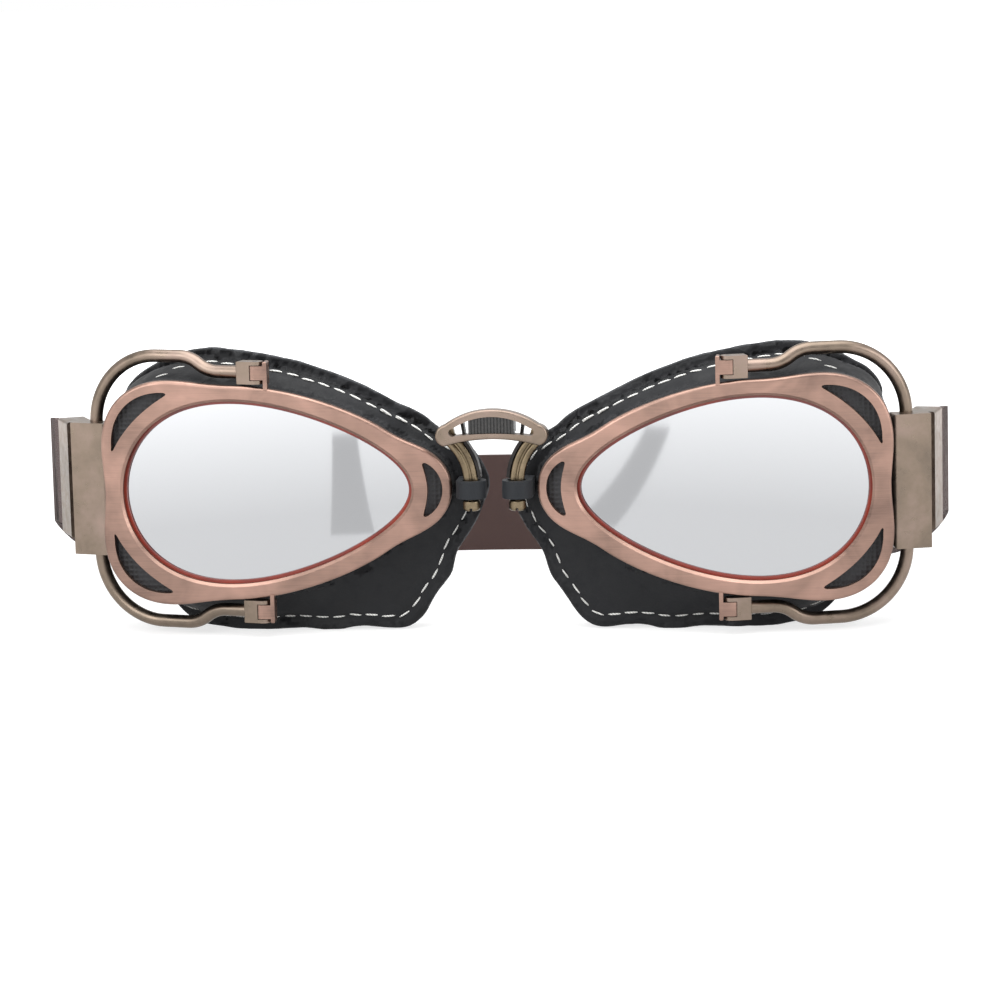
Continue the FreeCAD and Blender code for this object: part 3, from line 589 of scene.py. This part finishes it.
def mask(side):
    """The leather mask: CAD form remeshed, puckered along its seam, with a wavy raw hem."""
    piece = copy_of(side + "_leather_skirt", side + "_mask_leather")
    voxels(piece, leather_voxel)
    apply_modifier(piece, "SMOOTH", "relax", factor=0.5, iterations=3)
    centre = lens_centre[side]
    middle = Vector((centre.x, centre.z))
    hem_reach = [(p - middle).length for p in silhouette(piece, centre)]
    seam_reach = [(p - middle).length for p in silhouette(piece, centre, inset=seam_inset)]
    edge = piece.data.attributes.new("raw_edge", "FLOAT", "POINT")
    normals = [v.normal.copy() for v in piece.data.vertices]
    for v, normal in zip(piece.data.vertices, normals):
        dx = v.co.x - centre.x
        dz = v.co.z - centre.z
        k = bearing(dx, dz)
        reach = math.hypot(dx, dz)
        from_seam = (reach - seam_reach[k]) / MM
        from_hem = (hem_reach[k] - reach) / MM
        front_facing = max(0.0, -normal.y)
        # The thread pulls a groove into the leather, and the leather swells beside it
        groove = -groove_depth * math.exp(-((from_seam / groove_width) ** 2)) * front_facing
        hump = math.exp(-(((from_seam + swell_inside) / swell_width) ** 2))
        swell = swell_height * hump * front_facing
        fold = sum(noise.noise(v.co * scale) * height for scale, height in fold_waves)
        crease = -crease_depth * abs(noise.noise(v.co * crease_scale)) * front_facing
        # Folds and creases fade out where the leather runs under the metal
        loose = min(1.0, max(0.0, (reach - (seam_reach[k] - flat_inside)) / flat_fade))
        v.co += normal * (groove + swell + (fold + crease) * loose) * MM
        fray = max(0.0, 1.0 - from_hem / fray_width) * max(0.0, 1.0 - front_facing * fray_turn)
        edge.data[v.index].value = min(1.0, fray)
        v.co.z = max(v.co.z, 0.0)
    smooth(piece)
    set_finish(piece, leather("black_goat_leather", raw=True))
    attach(piece, side + "_cup")
    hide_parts(side + "_leather_skirt")
    return piece


def stitch_shape():
    """One stitch: a short bead of thread whose ends dive into the leather."""
    bpy.ops.mesh.primitive_uv_sphere_add(segments=8, ring_count=7, radius=1.0)
    obj = bpy.context.active_object
    for v in obj.data.vertices:
        x, y, z = v.co
        body = (1 - abs(z) ** stitch_taper) ** 0.5 if abs(z) < 1 else 0.0
        flat = math.hypot(x, y)
        scale = body * thread / 2 / flat if flat > 1e-6 else 0.0
        lift = stitch_arch * (1 - z * z)
        v.co = Vector(
            (x * scale * stitch_wide, y * scale * stitch_flat + lift, z * stitch_length / 2)
        )
    return obj


def seam_stitches(side, piece):
    """The running stitch along the hem, with a back-tack beside the nose."""
    centre = lens_centre[side]
    tree = BVHTree.FromObject(piece, bpy.context.evaluated_depsgraph_get())
    line = resample(silhouette(piece, centre, inset=seam_inset), stitch_pitch)
    shape = stitch_shape()
    count = len(line)
    inward = 1 if side == "left" else -1
    knot_x = centre.x + inward * knot_place
    placed = []
    for i, point in enumerate(line):
        ahead = line[(i + 1) % count] - line[i - 1]
        start = Vector((point.x, front_y - ray_start, point.y))
        hit, normal, _, _ = tree.ray_cast(start, Vector((0, 1, 0)))
        if hit is None:
            continue
        turn = math.atan2(ahead.y, ahead.x)
        wander = noise.noise(Vector((i * 1.7, 0.3, 5.0))) * stitch_wander
        placed.append((hit, normal, turn + wander))
        if point.y > centre.z and abs(point.x - knot_x) < knot_half:
            for twist, lift in knot_threads:
                placed.append((hit + normal * lift * MM, normal, turn + twist))
    copies = []
    for hit, normal, turn in placed:
        ahead = Vector((math.cos(turn), 0, math.sin(turn)))
        ahead = (ahead - normal * ahead.dot(normal)).normalized()
        across = normal.cross(ahead)
        matrix = Matrix((across, normal, ahead)).transposed().to_4x4()
        matrix.translation = hit - normal * stitch_sink
        copy = bpy.data.objects.new("stitch", shape.data.copy())
        bpy.context.scene.collection.objects.link(copy)
        copy.data.transform(matrix)
        copies.append(copy)
    deselect()
    for copy in copies:
        copy.select_set(True)
    bpy.context.view_layer.objects.active = copies[0]
    bpy.ops.object.join()
    seam = bpy.context.active_object
    seam.name = side + "_mask_stitches"
    bpy.data.objects.remove(shape)
    edit(seam, bpy.ops.mesh.normals_make_consistent, inside=False)
    smooth(seam)
    return seam


def face_cushion(side):
    """The cushion that meets the face, swollen by a cloth simulation."""
    piece = copy_of(side + "_face_pad", side + "_face_cushion")
    voxels(piece, pad_voxel)
    start = [v.co.copy() for v in piece.data.vertices]
    pick(piece)
    cloth = piece.modifiers.new("swell", "CLOTH")
    cloth.settings.use_pressure = True
    cloth.settings.uniform_pressure_force = pad_pressure
    cloth.settings.effector_weights.gravity = 0.0
    cloth.point_cache.frame_end = pad_frames
    group = piece.vertex_groups.new(name="glued")
    for v in piece.data.vertices:
        if v.normal.y < pad_glued:
            group.add([v.index], 1.0, "REPLACE")
    cloth.settings.vertex_group_mass = "glued"
    for step in range(1, pad_frames + 1):
        bpy.context.scene.frame_set(step)
    bpy.ops.object.modifier_apply(modifier="swell")
    bpy.context.scene.frame_set(1)
    for v, home in zip(piece.data.vertices, start):
        move = v.co - home
        if move.length > pad_swell:
            v.co = home + move.normalized() * pad_swell
    apply_modifier(piece, "SUBSURF", "round", levels=1, render_levels=1)
    apply_modifier(piece, "SMOOTH", "relax", factor=0.5, iterations=4)
    roughen(piece, pad_lump_scale, pad_lump)
    smooth(piece)
    set_finish(piece, plush())
    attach(piece, side + "_cup")
    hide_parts(side + "_face_pad")


def sleeve(side):
    """The leather sleeve round the arm of the nose bridge, with turned edges."""
    piece = copy_of(side + "_leather_loop", side + "_arm_sleeve")
    voxels(piece, sleeve_voxel)
    apply_modifier(piece, "SMOOTH", "relax", factor=0.5, iterations=3)
    roughen(piece, sleeve_grain_scale, sleeve_grain)
    smooth(piece)
    set_finish(piece, leather("black_smooth_leather", "#14161A", "#24272B"))
    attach(piece, side + "_cup")
    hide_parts(side + "_leather_loop")


def build_strap():
    """Webbing: a loop and tail at each bail, the sides, and the back."""
    webbing = elastic_webbing()
    piece = copy_of("strap_rear", "strap_back_web")
    weave_map(piece, lambda p: p.x, lambda p: p.z)
    dress_strap(piece, webbing)
    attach(piece, "bridge")
    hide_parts("strap_rear")
    for side in SIDES:
        loop = copy_of(side + "_strap_loop", side + "_strap_loop_web")
        weave_map(loop, lambda p: p.y, lambda p: p.z)
        dress_strap(loop, webbing)
        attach(loop, side + "_bail_body")
        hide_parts(side + "_strap_loop")
        side_straps(side, webbing)


def weave_map(piece, along, across):
    layer = piece.data.uv_layers.new(name="weave")
    piece.data.uv_layers.active = layer
    for loop in piece.data.loops:
        p = piece.data.vertices[loop.vertex_index].co
        layer.data[loop.index].uv = (along(p) / MM, across(p) / MM)


def dress_strap(piece, webbing):
    smooth(piece, web_edge_angle)
    set_finish(piece, webbing)


def side_straps(side, webbing):
    """The side of the strap, which runs past bail, cup, arm and yoke, cut across its depth into three
    pieces.
    """
    node = side + "_strap_side"
    low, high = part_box(node)
    lower = lower_edge(node)
    cuts = [low.y + (high.y - low.y) * share for share in strap_shares]
    for k in range(3):
        piece = copy_of(node, f"{side}_strap_side_web_{k + 1}")
        slice_strap(piece, cuts[k], cuts[k + 1], k > 0, k < 2)
        weave_map(piece, lambda p: p.y, lambda p: p.z - lower(p.y))
        dress_strap(piece, webbing)
        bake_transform(piece)
        if k == 0:
            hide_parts(node)


def slice_strap(piece, y0, y1, cut_low, cut_high):
    """Keep what lies between two depths, with rows of faces cut across it."""
    bisect = bpy.ops.mesh.bisect
    across = {"plane_no": (0, 1, 0)}
    if cut_low:
        edit(piece, bisect, plane_co=(0, y0, 0), use_fill=True, clear_inner=True, **across)
    if cut_high:
        edit(piece, bisect, plane_co=(0, y1, 0), use_fill=True, clear_outer=True, **across)
    for i in range(1, bend_rows):
        edit(piece, bisect, plane_co=(0, y0 + (y1 - y0) * i / bend_rows, 0), **across)


def lower_edge(node):
    """A function that gives the height of the strap's lower edge at a depth."""
    low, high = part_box(node)
    reach = high.y - low.y
    places = [(v.co.y, v.co.z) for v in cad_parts[node].data.vertices]
    heights = []
    for i in range(edge_steps + 1):
        depth = low.y + reach * i / edge_steps
        near = [z for y, z in places if abs(y - depth) < edge_window]
        heights.append(min(near) if near else low.z)

    def at(y):
        place = min(max((y - low.y) / reach * edge_steps, 0.0), edge_steps - 0.001)
        k = int(place)
        return heights[k] + (heights[k + 1] - heights[k]) * (place - k)

    return at


def studio():
    """A white floor, a pale room, soft lamps, and a card that only the mirrors see."""
    bpy.ops.mesh.primitive_plane_add(size=floor_size, location=(middle_x, 0, 0))
    floor = bpy.context.active_object
    floor.name = "studio_floor"
    material, tree = new_material("white_studio_floor")
    place = add(tree, "TexCoord").outputs["Object"]
    away = add(tree, "VectorMath", {0: place}, operation="LENGTH").outputs["Value"]
    fade = {"Value": away, "From Min": floor_fade_start, "From Max": floor_fade_end}
    far = add(tree, "MapRange", fade).outputs["Result"]
    glow = add(tree, "Math", {0: far, 1: floor_glow}, operation="ADD").outputs[0]
    seen = add(tree, "Math", {0: glow, 1: camera_like(tree)}, operation="MULTIPLY").outputs[0]
    surface = {
        "Base Color": linear("#A4A4A4"),
        "Roughness": 0.9,
        "Emission Color": linear("#FFFFFF"),
        "Emission Strength": seen,
    }
    shader = add(tree, "BsdfPrincipled", surface)
    add(tree, "OutputMaterial", {"Surface": shader.outputs[0]})
    set_finish(floor, material)
    mirror_card()
    world = bpy.data.worlds.new("pale_room")
    bpy.context.scene.world = world
    world.use_nodes = True
    tree = world.node_tree
    tree.nodes.clear()
    brightness = {"Value": camera_like(tree), "To Min": room_light, "To Max": room_seen}
    strength = add(tree, "MapRange", brightness).outputs["Result"]
    background = add(tree, "Background", {"Color": linear("#FFFFFF"), "Strength": strength})
    add(tree, "OutputWorld", {"Surface": background.outputs[0]})
    for name, place, aim, size, power in lamps:
        lamp(name, place, aim, size, power)


def mirror_card():
    """A card darker than the far floor: the nasal parts of both lenses show it."""
    bpy.ops.mesh.primitive_plane_add(size=1.0)
    card = bpy.context.active_object
    card.name = "grey_mirror_card"
    low, high = card_span
    for v in card.data.vertices:
        x = high.x if v.co.x > 0 else low.x
        y = high.y if v.co.y > 0 else low.y
        v.co = (middle_x + x, front_y + y, card_lift)
    material, tree = new_material("grey_card")
    shine = add(tree, "Emission", {"Color": linear("#FFFFFF"), "Strength": card_tone})
    add(tree, "OutputMaterial", {"Surface": shine.outputs[0]})
    set_finish(card, material)
    card.visible_camera = False
    card.visible_diffuse = False
    card.visible_shadow = False


def camera_like(tree):
    """1 for rays from the camera, and for mirror and glass rays, which show the pale room too."""
    path = add(tree, "LightPath").outputs
    straight = {0: path["Is Camera Ray"], 1: path["Is Glossy Ray"]}
    both = add(tree, "Math", straight, operation="MAXIMUM").outputs[0]
    every = {0: both, 1: path["Is Transmission Ray"]}
    return add(tree, "Math", every, operation="MAXIMUM").outputs[0]


def lamp(name, place, aim, size, power):
    data = bpy.data.lights.new(name, "AREA")
    data.shape = "SQUARE"
    data.size = size
    data.energy = power
    obj = bpy.data.objects.new(name, data)
    bpy.context.scene.collection.objects.link(obj)
    obj.location = Vector((middle_x, front_y, 0)) + Vector(place)
    obj.rotation_euler = (Vector(aim) - Vector(place)).to_track_quat("-Z", "Y").to_euler()


def photo_camera():
    data = bpy.data.cameras.new("photo_camera")
    data.sensor_width = sensor
    data.lens = focal
    data.clip_start = camera_near
    camera = bpy.data.objects.new("photo_camera", data)
    bpy.context.scene.collection.objects.link(camera)
    yaw = math.radians(camera_yaw)
    pitch = math.radians(camera_pitch)
    aim = Vector((middle_x + camera_offset_x, front_y, camera_aim_z))
    level = math.cos(pitch)
    view = Vector((-math.sin(yaw) * level, math.cos(yaw) * level, -math.sin(pitch)))
    camera.location = aim - view * camera_distance
    turn = view.to_track_quat("-Z", "Y").to_matrix().to_4x4()
    roll = Matrix.Rotation(math.radians(camera_roll), 4, "Z")
    camera.rotation_euler = (turn @ roll).to_euler()
    bpy.context.scene.camera = camera


bpy.context.scene.view_settings.view_transform = "Standard"
deselect()
paint_frame()
thread_finish = cotton_thread()
for side in SIDES:
    skin = mask(side)
    seam = seam_stitches(side, skin)
    set_finish(seam, thread_finish)
    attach(seam, side + "_cup")
    face_cushion(side)
    sleeve(side)
build_strap()
studio()
photo_camera()
deselect()
